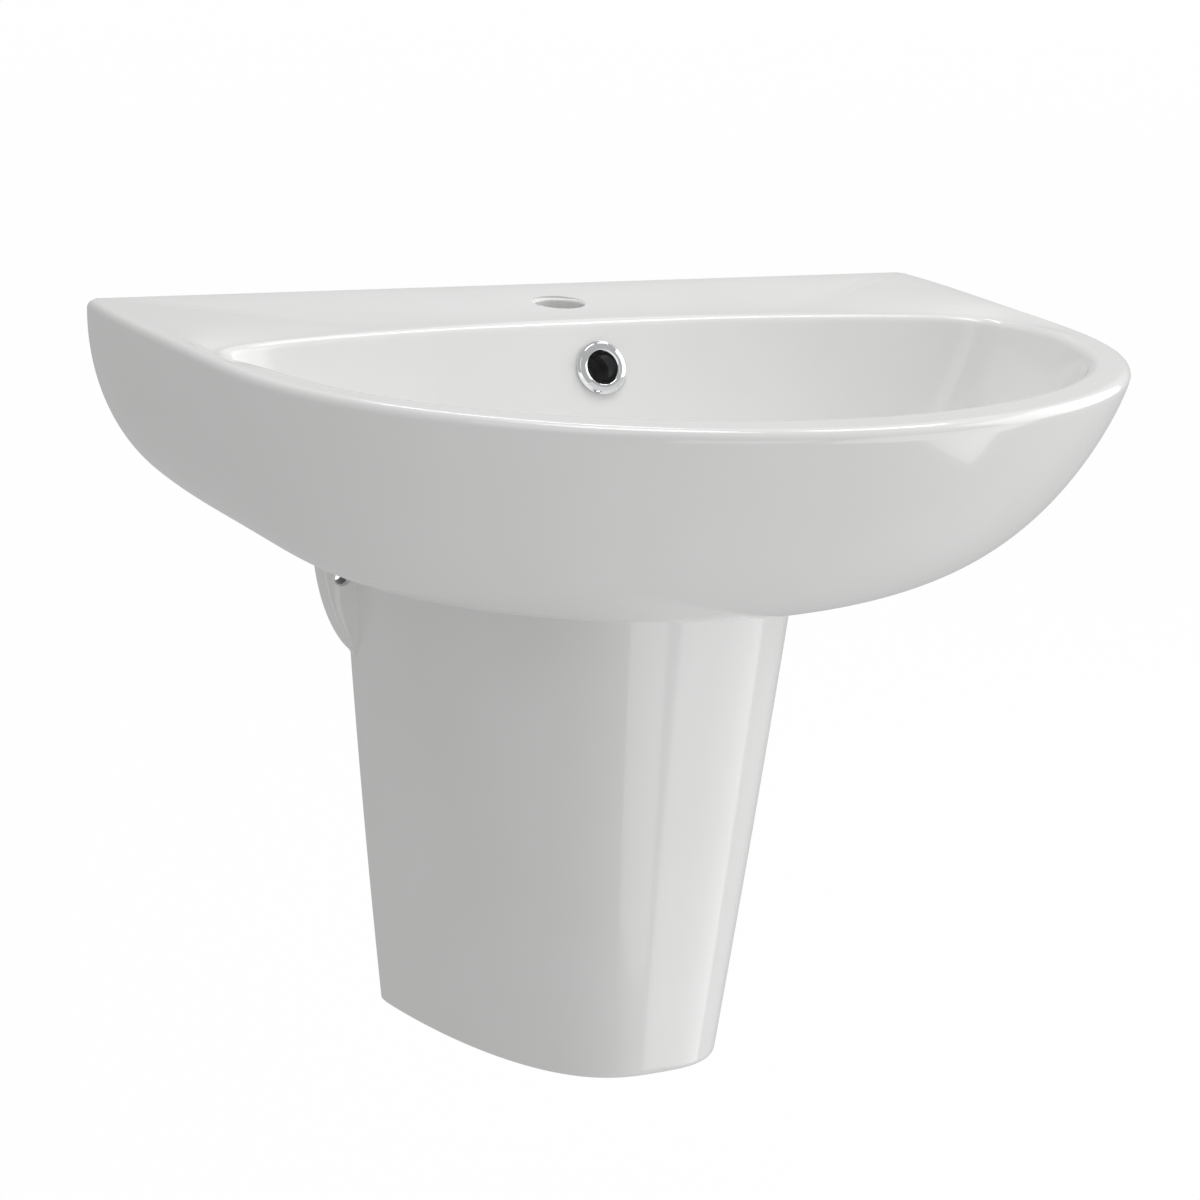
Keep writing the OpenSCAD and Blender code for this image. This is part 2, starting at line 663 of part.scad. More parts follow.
module trap_cup() {
    round_r = 12;
    inner_r = trap_r - 3 + cup_gap;
    low = cup_z + cup_lip - 1 - cup_l;
    color("silver") at_waste(low) {
        rotate_extrude($fn = round_fn) polygon(concat([[0, 0]],
            [for (i = [0:6]) let (b = 15 * i) [trap_r - round_r + round_r * sin(b), round_r * (1 - cos(b))]],
            [[trap_r, cup_l], [inner_r, cup_l], [inner_r, round_r + 2]],
            [for (i = [6:-1:0]) let (b = 15 * i)
                [inner_r - round_r + round_r * sin(b), 2.5 + round_r * (1 - cos(b))]],
            [[0, 2.5]]));
        for (i = [0:7]) rotate([0, 0, 45 * i])
            translate([trap_r - 0.8, 0, round_r]) cylinder(r = 2, h = cup_l - 2 * round_r, $fn = 24);
    }
}

// ---- outlet ----
outlet_lip = 3;
outlet_nut_l = 18;
pipe_start = branch_y - 14;
outlet_neck_r = pipe_r + 4.6;
module outlet_nut() {
    color("silver") translate([0, branch_y - outlet_nut_l + 6, rim_z + outlet_z]) rotate([-90, 0, 0])
        difference() {
            ribbed(outlet_neck_r + 4.5, outlet_nut_l);
            translate([0, 0, -1]) cylinder(r = outlet_neck_r, h = outlet_nut_l - outlet_lip + 1, $fn = round_fn);
            translate([0, 0, -1]) cylinder(r = pipe_r + fit, h = 2 * outlet_nut_l, $fn = round_fn);
        }
}

module outlet_seal() {
    color("dimgray") translate([0, branch_y, rim_z + outlet_z]) rotate([-90, 0, 0])
        ring(pipe_r, outlet_neck_r - 0.5, 3);
}

module outlet_pipe() {
    bead_r = pipe_r + 0.8;
    bead_l = 1.5;
    color("silver") difference() {
        union() {
            branch(pipe_r, pipe_start, pipe_in_wall);
            branch(bead_r, -bead_l, 0);
        }
        branch(pipe_r - pipe_t, pipe_start - 1, pipe_in_wall + 1);
    }
}

module wall_flange() {
    rose_l = 12;
    rose_t = 1.2;
    collar_h = 10;
    color("silver") translate([0, 0, rim_z + outlet_z]) rotate([90, 0, 0]) rotate_extrude($fn = round_fn)
        polygon([[rose_d / 2, 0], [rose_d / 2, 1.5], [rose_d / 2 - 4, 5], [pipe_r + 5, rose_l - 1],
            [pipe_r + 2, rose_l + 1], [pipe_r + 1.4, rose_l + collar_h], [pipe_r + fit, rose_l + collar_h],
            [pipe_r + fit, rose_l], [pipe_r + 4, rose_l - 2.5], [rose_d / 2 - 5, 3.5],
            [rose_d / 2 - rose_t, 1], [rose_d / 2 - rose_t, 0]]);
}

basin();
semi_pedestal();
overflow_ring();
hanger_bolts();
bolt_bushes();
bolt_washers();
bolt_nuts();
waste_body();
waste_gasket();
waste_taper_seal();
waste_slip_washer();
waste_back_nut();
plug_cartridge();
plug_stem();
plug_seal();
plug_cap();
inlet_nut();
inlet_washer();
dip_pipe();
top_nut();
top_seal();
trap_body();
cup_seal();
trap_cup();
outlet_nut();
outlet_seal();
outlet_pipe();
wall_flange();
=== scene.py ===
import json
import math
import bpy
from mathutils import Matrix, Vector
import numpy as np


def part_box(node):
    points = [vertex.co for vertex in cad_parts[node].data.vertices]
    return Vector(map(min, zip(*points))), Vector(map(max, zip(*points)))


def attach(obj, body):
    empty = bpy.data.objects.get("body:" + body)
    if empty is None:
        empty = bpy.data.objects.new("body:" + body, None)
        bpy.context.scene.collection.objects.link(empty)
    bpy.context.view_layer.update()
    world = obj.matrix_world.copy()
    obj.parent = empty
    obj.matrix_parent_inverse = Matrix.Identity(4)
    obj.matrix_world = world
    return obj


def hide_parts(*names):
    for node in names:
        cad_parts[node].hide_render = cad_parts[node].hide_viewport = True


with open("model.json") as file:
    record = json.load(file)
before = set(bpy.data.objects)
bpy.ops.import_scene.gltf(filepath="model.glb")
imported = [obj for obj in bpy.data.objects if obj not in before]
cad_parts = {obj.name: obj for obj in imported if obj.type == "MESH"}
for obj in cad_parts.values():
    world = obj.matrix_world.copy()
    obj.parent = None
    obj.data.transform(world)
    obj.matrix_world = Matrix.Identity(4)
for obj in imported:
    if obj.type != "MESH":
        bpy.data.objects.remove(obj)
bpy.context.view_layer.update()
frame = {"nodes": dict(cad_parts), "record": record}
print("frame loaded:", len(frame["nodes"]), "nodes")

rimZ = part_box("basin")[1].z  # every height below is counted from the top of the rim
wasteY = -0.228


def smoothStep(t):
    t = np.clip(t, 0, 1)
    return t * t * (3 - 2 * t)


# Quads between the rows of a grid of points, numbered row by row; loop closes each row on itself
def gridFaces(rows, cols, loop=True):
    j, i = np.meshgrid(np.arange(rows - 1), np.arange(cols if loop else cols - 1), indexing="ij")
    n = (i + 1) % cols
    a, b = j * cols + i, j * cols + n
    return np.stack([a, b, b + cols, a + cols], -1).reshape(-1, 4)


# A mesh object from points and faces, with its shading sharp where two faces meet at more than the angle
def newMesh(name, points, faces, sharpAngle=32):
    mesh = bpy.data.meshes.new(name)
    mesh.from_pydata(np.asarray(points, float).reshape(-1, 3).tolist(), [], faces)
    mesh.validate()
    obj = bpy.data.objects.new(name, mesh)
    bpy.context.scene.collection.objects.link(obj)
    shadeByAngle(obj, sharpAngle)
    return obj


def shadeByAngle(obj, sharpAngle):
    mesh = obj.data
    mesh.polygons.foreach_set("use_smooth", np.ones(len(mesh.polygons), bool))
    mesh.update()
    mesh.set_sharp_from_angle(angle=math.radians(sharpAngle))


# A grid closed round each row, with a pole of its own at each end that isn't left open
def closedGrid(rows, firstPole=None, lastPole=None):
    rows = np.asarray(rows, float)
    count, cols = rows.shape[:2]
    points = rows.reshape(-1, 3)
    faces = gridFaces(count, cols).tolist()
    i = np.arange(cols)
    n = (i + 1) % cols
    if firstPole is not None:
        points = np.vstack([points, firstPole])
        faces += np.stack([n, i, np.full(cols, len(points) - 1)], -1).tolist()
    if lastPole is not None:
        points = np.vstack([points, lastPole])
        last = (count - 1) * cols
        faces += np.stack([last + i, last + n, np.full(cols, len(points) - 1)], -1).tolist()
    return points, faces


# A profile of (radius, height, corner radius) with each corner replaced by an arc of that radius
def roundedProfile(corners, steps=6, closed=True):
    p = np.array([c[:2] for c in corners], float)
    r = np.array([c[2] if len(c) > 2 else 0 for c in corners], float)
    out = []
    for k in range(len(p)):
        if r[k] <= 0 or (not closed and k in (0, len(p) - 1)):
            out.append(p[k][None])
            continue
        a, b = p[k - 1] - p[k], p[(k + 1) % len(p)] - p[k]
        la, lb = np.linalg.norm(a), np.linalg.norm(b)
        a, b = a / la, b / lb
        half = math.acos(np.clip(a @ b, -1, 1)) / 2
        cut = min(r[k] / math.tan(half), 0.49 * la, 0.49 * lb)
        t = np.linspace(0, 1, steps + 1)[:, None]
        start, end = p[k] + a * cut, p[k] + b * cut
        out.append((1 - t) ** 2 * start + 2 * t * (1 - t) * p[k] + t ** 2 * end)
    return np.vstack(out)


# The profile turned once round an axis through the place, along the direction; closed in section
def lathe(profile, place, direction=(0, 0, 1), around=128):
    w = np.array(direction, float) / np.linalg.norm(direction)
    side = np.cross(w, [0, 1, 0] if abs(w[1]) < 0.9 else [1, 0, 0])
    u = side / np.linalg.norm(side)
    v = np.cross(w, u)
    a = np.linspace(0, 2 * np.pi, around, endpoint=False)
    ring = np.cos(a)[:, None] * u + np.sin(a)[:, None] * v
    r, h = profile[:, 0], profile[:, 1]
    return np.array(place, float) + r[:, None, None] * ring + h[:, None, None] * w


# A closed ring-shaped solid: the section runs clockwise seen with the axis on its left, so faces point out
def turned(name, corners, place, direction=(0, 0, 1), around=128, steps=6):
    profile = roundedProfile(corners, steps)
    solid = profile[:, 0].min() < 1e-7
    if solid:
        profile = profile[profile[:, 0] > 1e-7]
    rows = lathe(profile, place, direction, around)
    w = np.array(direction, float) / np.linalg.norm(direction)
    if solid:
        points, faces = closedGrid(rows, place + w * profile[0, 1], place + w * profile[-1, 1])
    else:
        points, faces = closedGrid(np.concatenate([rows, rows[:1]]))
        cols, count = rows.shape[1], rows.shape[0]
        points = points[:count * cols]
        faces = (np.array(faces) % (count * cols)).tolist()
    obj = newMesh(name, points, faces)
    faceOut(obj)
    return obj


# Turns every face over if the volume they enclose comes out negative
def faceOut(obj):
    mesh = obj.data
    mesh.calc_loop_triangles()
    co = np.empty(len(mesh.vertices) * 3)
    mesh.vertices.foreach_get("co", co)
    tri = np.empty(len(mesh.loop_triangles) * 3, int)
    mesh.loop_triangles.foreach_get("vertices", tri)
    a, b, c = co.reshape(-1, 3)[tri.reshape(-1, 3)].transpose(1, 0, 2)
    if np.einsum("ij,ij->i", a, np.cross(b, c)).sum() < 0:
        mesh.flip_normals()


# Cuts the solids out of the object for good, and throws the solids away
def cutAway(obj, cutters, sharpAngle=32):
    for cutter in cutters:
        faceOut(cutter)
        cut = obj.modifiers.new("cut", "BOOLEAN")
        cut.operation, cut.solver, cut.object = "DIFFERENCE", "EXACT", cutter
    graph = bpy.context.evaluated_depsgraph_get()
    mesh = bpy.data.meshes.new_from_object(obj.evaluated_get(graph))
    obj.modifiers.clear()
    old, obj.data = obj.data, mesh
    bpy.data.meshes.remove(old)
    mesh.name = obj.name
    for cutter in cutters:
        shape = cutter.data
        bpy.data.objects.remove(cutter)
        bpy.data.meshes.remove(shape)
    shadeByAngle(obj, sharpAngle)


# A plain straight-sided cutter: an outline of points carried from one end to the other
def prism(name, outline, start, step):
    outline = np.asarray(outline, float)
    rows = np.stack([outline + start, outline + start + np.asarray(step, float)])
    middle = outline.mean(0)
    points, faces = closedGrid(rows, middle + start, middle + start + np.asarray(step, float))
    return newMesh(name, points, faces)


def place(obj, body, slotName, material, *replaced):
    obj.data.materials.clear()
    obj.data.materials.append(material)
    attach(obj, body)
    if replaced:
        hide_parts(*replaced)
    return obj


def newMaterial(name, settings):
    material = bpy.data.materials.new(name)
    material.use_nodes = True
    shader = material.node_tree.nodes["Principled BSDF"]
    for socket, value in settings.items():
        shader.inputs[socket].default_value = value
    return material, material.node_tree, shader


def noise(tree, scale, detail=3, roughness=0.5):
    coords = tree.nodes.new("ShaderNodeTexCoord")
    texture = tree.nodes.new("ShaderNodeTexNoise")
    texture.inputs["Scale"].default_value = scale
    texture.inputs["Detail"].default_value = detail
    texture.inputs["Roughness"].default_value = roughness
    tree.links.new(coords.outputs["Object"], texture.inputs["Vector"])
    return texture.outputs["Fac"]


# Carries a factor from 0..1 onto low..high
def spread(tree, factor, low, high, fromLow=0.3, fromHigh=0.7):
    node = tree.nodes.new("ShaderNodeMapRange")
    node.inputs["From Min"].default_value = fromLow
    node.inputs["From Max"].default_value = fromHigh
    node.inputs["To Min"].default_value = low
    node.inputs["To Max"].default_value = high
    tree.links.new(factor, node.inputs["Value"])
    return node.outputs["Result"]


def mixColour(tree, factor, first, second):
    node = tree.nodes.new("ShaderNodeMix")
    node.data_type = "RGBA"
    node.inputs["A"].default_value = (*first, 1)
    node.inputs["B"].default_value = (*second, 1)
    tree.links.new(factor, node.inputs["Factor"])
    return node.outputs["Result"]


def bump(tree, shader, height, strength, distance):
    node = tree.nodes.new("ShaderNodeBump")
    node.inputs["Strength"].default_value = strength
    node.inputs["Distance"].default_value = distance
    tree.links.new(height, node.inputs["Height"])
    tree.links.new(node.outputs["Normal"], shader.inputs["Normal"])
    return node


glazeLook = {
    "holeShade": (0.075, 0.075, 0.077),  # painted shade: a near-black stand-in for the shade deep inside holes
    "white": (0.86, 0.86, 0.855),
    "warmWhite": (0.83, 0.83, 0.82),
    "shine": (0.11, 0.16),  # roughness of the glaze, at its smoothest and its dullest
    "ripple": 0.00009,  # height of the glaze's slow waves, in metres
    "pinholes": 0.00001,
}


def makeGlaze():
    material, tree, shader = newMaterial("glazedChina", {"IOR": 1.52, "Specular IOR Level": 0.5,
                                                         "Coat Weight": 0.3, "Coat Roughness": 0.02})
    pool = noise(tree, 7, 2)
    tree.links.new(mixColour(tree, spread(tree, pool, 0, 1), glazeLook["white"], glazeLook["warmWhite"]),
                   shader.inputs["Base Color"])
    tree.links.new(spread(tree, noise(tree, 22, 3), *glazeLook["shine"]), shader.inputs["Roughness"])
    slow = bump(tree, shader, noise(tree, 9, 1), 0.35, glazeLook["ripple"] * 10)
    fine = bump(tree, shader, noise(tree, 420, 2), 0.12, glazeLook["pinholes"] * 10)
    tree.links.new(slow.outputs["Normal"], fine.inputs["Normal"])
    return material


# Paints shade onto the glaze inside a rod: the distance off its axis is under the radius,
# and the way along it is between low and high
def paintShadeInside(material, at, along, radius, low, high, colour):
    tree = material.node_tree
    shader = tree.nodes["Principled BSDF"]

    def step(kind, operation, first, second, output):
        node = tree.nodes.new(kind)
        node.operation = operation
        for socket, value in zip(node.inputs, (first, second)):
            if isinstance(value, bpy.types.NodeSocket):
                tree.links.new(value, socket)
            elif value is not None:
                socket.default_value = value
        return node.outputs[output]

    coords = tree.nodes.new("ShaderNodeTexCoord").outputs["Object"]
    offset = step("ShaderNodeVectorMath", "SUBTRACT", coords, tuple(at), "Vector")
    way = step("ShaderNodeVectorMath", "DOT_PRODUCT", offset, tuple(along), "Value")
    shift = tree.nodes.new("ShaderNodeVectorMath")
    shift.operation = "SCALE"
    shift.inputs[0].default_value = tuple(along)
    tree.links.new(way, shift.inputs["Scale"])
    across = step("ShaderNodeVectorMath", "SUBTRACT", offset, shift.outputs[0], "Vector")
    far = step("ShaderNodeVectorMath", "LENGTH", across, None, "Value")
    near = step("ShaderNodeMath", "LESS_THAN", far, radius, "Value")
    deep = step("ShaderNodeMath", "GREATER_THAN", way, low, "Value")
    short = step("ShaderNodeMath", "LESS_THAN", way, high, "Value")
    inside = step("ShaderNodeMath", "MULTIPLY", near, deep, "Value")
    shadeMask = step("ShaderNodeMath", "MULTIPLY", inside, short, "Value")
    link = shader.inputs["Base Color"].links[0]
    plain = link.from_socket
    # The painted shade colour is laid over the glaze's own colour where the mask is set
    mix = tree.nodes.new("ShaderNodeMix")
    mix.data_type = "RGBA"
    mix.inputs["B"].default_value = (*colour, 1)
    tree.links.new(shadeMask, mix.inputs["Factor"])
    tree.links.new(plain, mix.inputs["A"])
    tree.links.new(mix.outputs["Result"], shader.inputs["Base Color"])


def makeMetal(name, bright, dull, shine, streaks, ripple=0.000004):
    material, tree, shader = newMaterial(name, {"Metallic": 1.0})
    cloud = noise(tree, 60, 4, 0.6)
    tree.links.new(mixColour(tree, spread(tree, cloud, 0, 1), bright, dull), shader.inputs["Base Color"])
    tree.links.new(spread(tree, noise(tree, streaks, 5, 0.65), *shine), shader.inputs["Roughness"])
    bump(tree, shader, noise(tree, 900, 2), 0.15, ripple * 10)
    return material


def makeRubber():
    material, tree, shader = newMaterial("blackRubber", {"Specular IOR Level": 0.35})
    tree.links.new(mixColour(tree, noise(tree, 180, 4), (0.012, 0.012, 0.013), (0.035, 0.034, 0.033)),
                   shader.inputs["Base Color"])
    tree.links.new(spread(tree, noise(tree, 90, 3), 0.55, 0.78), shader.inputs["Roughness"])
    bump(tree, shader, noise(tree, 1500, 3), 0.3, 0.0003)
    return material


def makePlastic(name, first, second, shine):
    material, tree, shader = newMaterial(name, {"IOR": 1.46, "Subsurface Weight": 0.05,
                                                "Subsurface Radius": (0.004, 0.003, 0.002)})
    tree.links.new(mixColour(tree, noise(tree, 35, 3), first, second), shader.inputs["Base Color"])
    tree.links.new(spread(tree, noise(tree, 160, 3), *shine), shader.inputs["Roughness"])
    bump(tree, shader, noise(tree, 1100, 2), 0.2, 0.0002)
    return material


glaze = makeGlaze()
brightChrome = makeMetal("brightChrome", (0.86, 0.87, 0.88), (0.80, 0.81, 0.83), (0.035, 0.09), 40)
pipeChrome = makeMetal("pipeChrome", (0.80, 0.81, 0.82), (0.70, 0.71, 0.73), (0.06, 0.16), 55)
zincSteel = makeMetal("zincSteel", (0.62, 0.64, 0.66), (0.48, 0.49, 0.50), (0.28, 0.46), 120, 0.00001)
blackRubber = makeRubber()
whitePlastic = makePlastic("whitePlastic", (0.80, 0.80, 0.78), (0.72, 0.72, 0.70), (0.28, 0.42))
creamPlastic = makePlastic("creamPlastic", (0.66, 0.62, 0.50), (0.58, 0.54, 0.43), (0.35, 0.5))
print("materials made")


basinSize = {
    "width": 0.650, "depth": 0.502, "height": 0.157,
    "rimRadius": 0.006, "mouthRadius": 0.008, "cornerRadius": 0.003,
    "rimFront": 0.030, "rimSide": 0.022, "deckDepth": 0.115, "mouthBow": 0.022, "deckFall": 0.0055,
    "footWide": 0.42, "footDeep": 0.60,
    "bowlDepth": 0.130, "bowlSlope": 2.6, "floorRadius": 0.037, "floorRise": 0.005,
    "china": 0.012, "deckThick": 0.016, "wallFlange": 0.014,
    "passageHalf": 0.025, "passageThick": 0.036, "pocketShort": 0.022, "overrun": 0.010,
    "tapRadius": 0.0175, "tapFromWall": 0.060, "tapLip": 0.0022,
    "wasteRadius": 0.023, "seatRadius": 0.035, "seatDrop": 0.004,
    "overflowRadius": 0.013, "overflowLip": 0.0012, "overflowDeep": 0.024,
    "boltRadius": 0.008, "boltDrop": 0.095, "boltOut": 0.1,
    "around": 420, "bowlRows": 60, "skinRows": 64, "edgeRows": 12,
}
wave = (1, -0.343, 0.223, -0.091, 0.022)


# Outline of the rim about the waste: a sum of five cosines of the angle, stretched to the width and the depth
def rimCurve(angle):
    s = basinSize
    reach = sum(w * np.cos(k * angle) for k, w in enumerate(wave))
    scan = np.linspace(0, np.pi, 721)
    widest = (sum(w * np.cos(k * scan) for k, w in enumerate(wave)) * np.sin(scan)).max()
    sx = s["width"] / 2 / widest
    sy = (s["depth"] + wasteY) / sum(wave)
    return np.stack([sx * reach * np.sin(angle), wasteY - sy * reach * np.cos(angle)], -1)


# The whole outline: the curve round the front, two small corners, and the straight edge along the wall
def rimOutline(past=0.010):
    s = basinSize
    low, high = math.pi / 2, math.radians(175)
    for _ in range(40):
        middle = (low + high) / 2
        low, high = (low, middle) if rimCurve(middle)[1] > -s["cornerRadius"] else (middle, high)
    side = rimCurve(low)[0]
    r = s["cornerRadius"]
    front = rimCurve(np.linspace(-low, low, s["around"]))
    b = np.linspace(0, np.pi / 2, 9)[1:]
    right = np.stack([side - r + r * np.cos(b), -r + r * np.sin(b)], -1)
    wall = np.stack([(side - r) * np.linspace(1, -1, 61), np.full(61, past)], -1)
    left = right[::-1] * (-1, 1)
    return np.concatenate([front, right, wall, left]), side


# Distance from the waste to the bowl's edge: the rim's inset in front and a shallow arc behind,
# blended by powers
def mouthReach(reach, e):
    s = basinSize
    front = reach - s["rimSide"] - (s["rimFront"] - s["rimSide"]) * np.maximum(0, -e[:, 1]) ** 2
    gap = -wasteY - s["deckDepth"]
    bow = s["mouthBow"] / 0.2 ** 2
    back = 2 * gap / (e[:, 1] + np.sqrt(e[:, 1] ** 2 + 4 * bow * e[:, 0] ** 2 * gap) + 1e-5)
    return (front ** -14 + np.maximum(1e-5, back) ** -14) ** (-1 / 14)


# Height of the bowl's edge: low at the back, where the deck falls to it, and level with the rim in front
def edgeHeight(y):
    return -basinSize["deckFall"] * (1 - smoothStep((-y - 0.165) / 0.1))


# Height of the bowl at a radius: a power curve from the floor's rim up to the wall,
# with the bowl's slope at its top
def bowlHeight(r, r1, z1):
    s = basinSize
    drop = s["bowlDepth"] + z1 - s["floorRise"]
    power = s["bowlSlope"] * (r1 - s["floorRadius"]) / drop
    q = np.clip((r - s["floorRadius"]) / (r1 - s["floorRadius"]), 0, 1)
    return z1 - drop * (1 - q ** power) - s["floorRise"] * (1 - q)


mouthAngle = math.atan(basinSize["bowlSlope"])
mouthOut = basinSize["mouthRadius"] * math.sin(mouthAngle) / 2


# Rows of points from the bowl's floor out over its edge, the deck and the rim
def topRows(outline):
    s = basinSize
    v = outline - (0, wasteY)
    reach = np.linalg.norm(v, axis=1)
    e = v / reach[:, None]
    m = mouthReach(reach, e)
    ze = edgeHeight(wasteY + e[:, 1] * m)
    r1, r2, r3 = m - mouthOut, m + mouthOut, reach - s["rimRadius"]
    z1 = ze - s["mouthRadius"] * (1 - math.cos(mouthAngle))
    k = np.linspace(0, 1, s["bowlRows"])[:, None] ** 0.75
    rBowl = s["floorRadius"] + (r1 - s["floorRadius"]) * k
    b = mouthAngle * (1 - np.linspace(0, 1, s["edgeRows"] + 1)[1:, None])
    f = np.linspace(0, 1, 15)[1:, None]
    c = np.linspace(0, np.pi / 2, s["edgeRows"] + 1)[1:, None]
    r = np.concatenate([rBowl, r2 - s["mouthRadius"] * np.sin(b),
                        r2 + (r3 - r2) * f, r3 + s["rimRadius"] * np.sin(c)])
    z = np.concatenate([bowlHeight(rBowl, r1, z1), ze - s["mouthRadius"] * (1 - np.cos(b)),
                        ze * smoothStep(1 - f), -s["rimRadius"] * (1 - np.cos(c)) + 0 * reach])
    return np.stack([e[:, 0] * r, wasteY + e[:, 1] * r, z], -1)


# How far the outline has shrunk at a share of the way down; the front shrinks sooner than the sides
def shrink(share, frontness):
    s = basinSize
    k = s["footWide"] + (s["footDeep"] - s["footWide"]) * frontness
    return k + (1 - k) * np.maximum(0, 1 - share ** (2 - frontness)) ** (1 / 2.8)


def skinHeight(share):
    return -basinSize["rimRadius"] - (basinSize["height"] - basinSize["rimRadius"]) * share


# Rows of points from the rim down the outside to the foot
def skinRows(outline, past=0.010):
    n = basinSize["skinRows"]
    share = np.sin(np.linspace(0, np.pi / 2, n + 1)[1:, None])
    frontness = np.maximum(0, -outline[:, 1] / basinSize["depth"])
    g = shrink(np.minimum(1, share), frontness)
    y = np.where(outline[:, 1] > 0, past, outline[:, 1] * g)
    return np.stack([outline[:, 0] * g, y, skinHeight(share) + 0 * g], -1)


# Back wall of the bowl on the centre line, and the same wall moved out along its normal
def backWall(q, thick=0.0):
    gap = -wasteY - basinSize["deckDepth"]
    r1 = gap - mouthOut
    z1 = edgeHeight(-0.1) - basinSize["mouthRadius"] * (1 - math.cos(mouthAngle))

    def at(t):
        r = basinSize["floorRadius"] + (r1 - basinSize["floorRadius"]) * t
        return np.stack([wasteY + r, bowlHeight(r, r1, z1)], -1)

    q = np.atleast_1d(np.asarray(q, float))
    d = at(q) - at(q - 1e-5)
    d /= np.linalg.norm(d, axis=1)[:, None]
    return at(q) + thick * np.stack([d[:, 1], -d[:, 0]], -1), np.stack([d[:, 1], -d[:, 0]], -1)


# The point of the bowl's back wall at the overflow's height, with its normal into the china
def findOverflow(drop=0.037):
    q = np.linspace(0.1, 1, 4001)
    at, normal = backWall(q)
    k = np.argmin(abs(at[:, 1] + drop))
    return np.array([0, at[k, 0], at[k, 1] + rimZ]), np.array([0, normal[k, 0], normal[k, 1]])


overflowAt, overflowIn = findOverflow()
# How far off the hole's axis the painted shade reaches, and from where to where along it into the china
overflowShade = {"radius": 0.0134, "from": 0.004, "to": 0.05}
# Painted shade: the glaze deep inside the overflow hole is coloured near-black
paintShadeInside(glaze, overflowAt, overflowIn, overflowShade["radius"], overflowShade["from"], overflowShade["to"],
           glazeLook["holeShade"])


def boxOutline(low, high):
    corners = ((low[0], low[1]), (high[0], low[1]), (high[0], high[1]), (low[0], high[1]))
    return [[x, y, low[2]] for x, y in corners]


def boxCutter(low, high):
    return prism("cutter", boxOutline(low, high), (0, 0, 0), (0, 0, high[2] - low[2]))


# Hollows behind the bowl: the section follows the bowl's back wall at the china's thickness
def hollowCutter(thick, x0, x1):
    s = basinSize
    wall = backWall(np.linspace(1, 0.1, 19), thick)[0]
    wall = wall[wall[:, 1] > -s["height"] + s["overrun"]]
    section = np.concatenate([[[-s["wallFlange"], -s["deckThick"]], [wall[0, 0], -s["deckThick"]]], wall,
                              [[wall[-1, 0], -s["height"] - s["overrun"]],
                               [-s["wallFlange"], -s["height"] - s["overrun"]]]])
    outline = np.stack([np.full(len(section), x0), section[:, 0], section[:, 1] + rimZ], -1)
    return newMesh("cutter", np.concatenate([outline, outline + (x1 - x0, 0, 0)]),
                   [list(range(len(outline)))[::-1], list(range(len(outline), 2 * len(outline)))]
                   + gridFaces(2, len(outline)).tolist())


# Side pockets: the section follows the outer skin at the wall, inset by the china's thickness
def pocketCutter(side, corner):
    s = basinSize
    share = np.linspace(0.1, 0.9, 25)
    low = np.stack([shrink(share, 0) * corner - s["china"], skinHeight(share) + s["china"] * share], -1)
    inner = s["footWide"] * corner
    kept = low[low[:, 0] > inner + 0.010]
    section = np.concatenate([[[inner, -s["deckThick"]], [low[0, 0], -s["deckThick"]]], kept,
                              [[inner, low[-1, 1] + s["china"]]]])
    outline = np.stack([side * section[:, 0], np.full(len(section), 0.005), section[:, 1] + rimZ], -1)
    back = outline - (0, 0.005 + s["deckDepth"] - s["pocketShort"], 0)
    return newMesh("cutter", np.concatenate([outline, back]),
                   [list(range(len(outline)))[::-1], list(range(len(outline), 2 * len(outline)))]
                   + gridFaces(2, len(outline)).tolist())


# A round cutter whose mouth opens in a quarter round, so that the hole it leaves has a soft edge
def roundCutter(radius, centre, direction, depth, lip=0.0, above=0.02, around=160):
    t = np.linspace(0, np.pi / 2, 9)
    mouth = np.array([[radius, 0]])
    if lip:
        mouth = np.stack([radius + lip - lip * np.cos(t), -lip + lip * np.sin(t)], -1)
    profile = np.concatenate([[[radius, -depth]], mouth, [[radius + lip, above]]])
    rows = lathe(profile, centre, direction, around)
    w = np.array(direction, float) / np.linalg.norm(direction)
    points, faces = closedGrid(rows, centre - w * depth, centre + w * above)
    return newMesh("cutter", points, faces)


def makeBasin():
    s = basinSize
    outline, corner = rimOutline()
    rows = np.concatenate([topRows(outline), skinRows(outline)]) + (0, 0, rimZ)
    points, faces = closedGrid(rows, (0, wasteY, rimZ - s["bowlDepth"]), (0, wasteY, rimZ - s["height"]))
    body = newMesh("chinaBasin", points, faces)
    faceOut(body)
    half = s["footWide"] * corner - s["china"]
    seat = np.array([0, wasteY, rimZ - s["bowlDepth"] - s["seatDrop"]])
    tap = np.array([0, -s["tapFromWall"], rimZ + deckHeight(-s["tapFromWall"])])
    bolts = [np.array([x, s["overrun"], rimZ - s["boltDrop"]]) for x in (-s["boltOut"], s["boltOut"])]
    up = (0, 0, 1)
    cutters = [
        boxCutter((-0.5, 0, rimZ - 0.3), (0.5, 0.05, rimZ + 0.05)),
        hollowCutter(s["china"], -half, -s["passageHalf"]),
        hollowCutter(s["passageThick"], -s["passageHalf"] - 0.0001, s["passageHalf"] + 0.0001),
        hollowCutter(s["china"], s["passageHalf"], half),
        pocketCutter(1, corner), pocketCutter(-1, corner),
        roundCutter(s["tapRadius"], tap, up, 0.03, s["tapLip"]),
        roundCutter(s["wasteRadius"], seat, up, 0.05, 0, 0.003),
        roundCutter(s["seatRadius"], seat, up, 0, 0, 0.008),
        roundCutter(s["overflowRadius"], overflowAt, -overflowIn, s["overflowDeep"], s["overflowLip"], 0.012),
    ]
    cutters += [roundCutter(s["boltRadius"], at, (0, 1, 0), 0.034, 0, 0.01, 64) for at in bolts]
    cutAway(body, cutters)
    return place(body, "fixed", "white_china", glaze, "basin")


